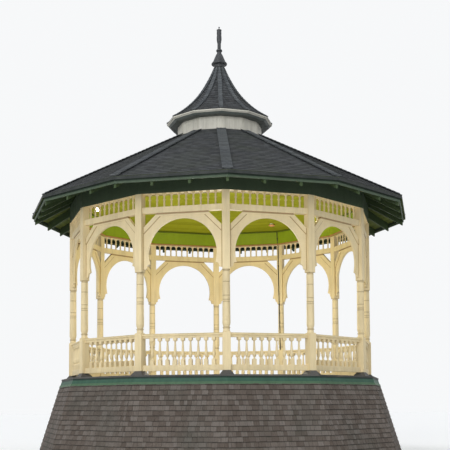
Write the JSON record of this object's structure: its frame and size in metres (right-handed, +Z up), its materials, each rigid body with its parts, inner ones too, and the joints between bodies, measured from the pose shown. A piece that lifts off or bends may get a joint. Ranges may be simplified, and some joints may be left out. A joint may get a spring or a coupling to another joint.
{
  "type": "bandstand",
  "caption": "Dodecagonal open timber bandstand on a battered shingled base, with turned posts, arched brackets, spindle frieze, shingled roof and concave-roofed cupola.",
  "frame": {"origin": "on the ground at the middle of the plan, on the axis of the cupola", "axes": "+Z up, -Y towards the front post, +X to the right of it"},
  "size_m": [10.5066, 10.5066, 12.2991],
  "materials": {
    "base_shingles": "weathered cedar shingles, dull",
    "framing": "bare sawn softwood",
    "deck_boards": "worn deck paint, matt",
    "deck_green": "dark green paint, satin",
    "cream_paint": "cream gloss paint on turned and sawn timber",
    "ceiling_green": "green paint on narrow boards, satin",
    "eave_green": "dark green paint, satin",
    "eave_dark": "dark green paint, satin",
    "roof_shingles": "dark weathered shingles, dull",
    "cap_metal": "dark painted sheet metal, satin",
    "lamp_porcelain": "white glazed lampholders",
    "lamp_glass": "opal lamp glass"
  },
  "bodies": {
    "root": {"base_wall_front_right": "base_shingles", "base_wall_back_right": "base_shingles", "base_wall_back_left": "base_shingles", "base_wall_front_left": "base_shingles", "centre_pier": "framing", "floor_joists": "framing", "deck_edge_board": "deck_green", "deck_floor": "deck_boards", "post_01": "cream_paint", "post_02": "cream_paint", "post_03": "cream_paint", "post_04": "cream_paint", "post_05": "cream_paint", "post_06": "cream_paint", "post_07": "cream_paint", "post_08": "cream_paint", "post_09": "cream_paint", "post_10": "cream_paint", "post_11": "cream_paint", "post_12": "cream_paint", "balustrade_front_right": "cream_paint", "balustrade_back_right": "cream_paint", "balustrade_back_left": "cream_paint", "balustrade_front_left": "cream_paint", "arches_front_right": "cream_paint", "arches_back_right": "cream_paint", "arches_back_left": "cream_paint", "arches_front_left": "cream_paint", "frieze_front_right": "cream_paint", "frieze_back_right": "cream_paint", "frieze_back_left": "cream_paint", "frieze_front_left": "cream_paint", "top_beam": "cream_paint", "ceiling_cove": "ceiling_green", "ceiling": "ceiling_green", "lamp_holders": "lamp_porcelain", "lamp_bulbs": "lamp_glass", "hip_rafters": "eave_green", "jack_rafters": "eave_green", "roof_front_right": "roof_shingles", "roof_back_right": "roof_shingles", "roof_back_left": "roof_shingles", "roof_front_left": "roof_shingles", "eave_board": "eave_dark", "cupola_drum": "cream_paint", "cupola_cornice": "cream_paint", "cupola_roof": "roof_shingles", "bell_cap": "cap_metal", "finial": "cap_metal"}
  },
  "joints": []
}
